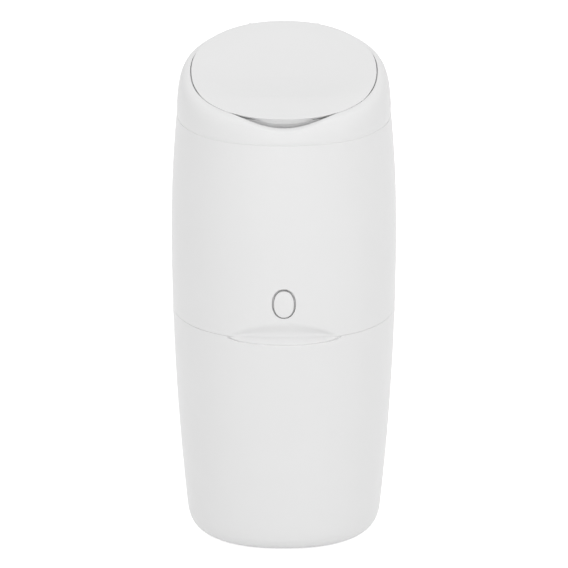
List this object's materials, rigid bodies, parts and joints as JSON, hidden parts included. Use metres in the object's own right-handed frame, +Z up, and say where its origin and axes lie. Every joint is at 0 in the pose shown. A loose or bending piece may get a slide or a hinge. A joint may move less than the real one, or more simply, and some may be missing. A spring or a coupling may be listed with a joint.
{
  "type": "nappy bin",
  "caption": "Tall nappy bin: slanted hinged lid over a film cassette, sprung flaps in the throat, and an upper half that tilts back off the bucket for emptying.",
  "frame": {"origin": "on the floor, under the middle axis of the round-cornered body", "axes": "+Z up, -Y towards the front with the button, +X to the right seen from the front"},
  "size_m": [0.236, 0.2474, 0.5272],
  "materials": {
    "white_shell": "satin white moulded plastic, very fine spark texture",
    "inner_plastic": "plain light grey moulded plastic",
    "cassette_plastic": "thin pale plastic",
    "cassette_cap_plastic": "thin pale blue plastic",
    "film": "thin folded film, slightly shiny",
    "grey_rubber": "soft matt rubber",
    "steel": "zinc plated steel"
  },
  "bodies": {
    "bucket": {"lower_bucket": "white_shell", "foot_ring": "grey_rubber", "tilt_hinge_pin": "steel"},
    "upper": {"upper_housing": "white_shell", "top_collar": "white_shell", "chute": "inner_plastic", "jaw_frame": "inner_plastic", "frame_screws": "steel", "jaw_frame_screws": "steel", "cassette_body": "cassette_plastic", "cassette_cap": "cassette_cap_plastic", "film_pack": "film", "cutter_guard": "inner_plastic", "cutter_blade": "steel", "cutter_screws": "steel", "button_guide": "inner_plastic", "guide_screws": "steel", "left_jaw_pin": "steel", "right_jaw_pin": "steel", "lid_hinge_pin": "steel", "button_spring": "steel"},
    "lid_panel": {"lid": "white_shell", "lid_liner": "inner_plastic", "lid_seal": "grey_rubber"},
    "latch": {"button_cap": "white_shell", "latch_slide": "inner_plastic"},
    "left_flap": {"left_jaw": "inner_plastic", "left_jaw_seal": "grey_rubber", "left_jaw_spring": "steel"},
    "right_flap": {"right_jaw": "inner_plastic", "right_jaw_seal": "grey_rubber", "right_jaw_spring": "steel"}
  },
  "joints": [
    {"name": "upper_tilt", "type": "hinge", "parent": "bucket", "child": "upper", "pos_m": [0, 0.12388, 0.249], "axis": [-1, 0, 0], "range_deg": [0, 80]},
    {"name": "lid_hinge", "type": "hinge", "parent": "upper", "child": "lid_panel", "pos_m": [0, 0.105, 0.5167], "axis": [-1, 0, 0], "range_deg": [0, 85]},
    {"name": "button_press", "type": "slide", "parent": "upper", "child": "latch", "axis": [0, 1, 0], "range_m": [0, 0.004], "stiffness_N_per_m": 500, "springref_m": -0.003, "deforming": ["button_spring"]},
    {"name": "left_flap_hinge", "type": "hinge", "parent": "upper", "child": "left_flap", "pos_m": [-0.066, 0, 0.362], "axis": [0, 1, 0], "range_deg": [0, 75], "stiffness_Nm_per_rad": 0.05, "springref_deg": -34.38, "deforming": ["left_jaw_spring"]},
    {"name": "right_flap_hinge", "type": "hinge", "parent": "upper", "child": "right_flap", "pos_m": [0.066, 0, 0.362], "axis": [0, -1, 0], "range_deg": [0, 75], "stiffness_Nm_per_rad": 0.05, "springref_deg": -34.38, "deforming": ["right_jaw_spring"]}
  ]
}
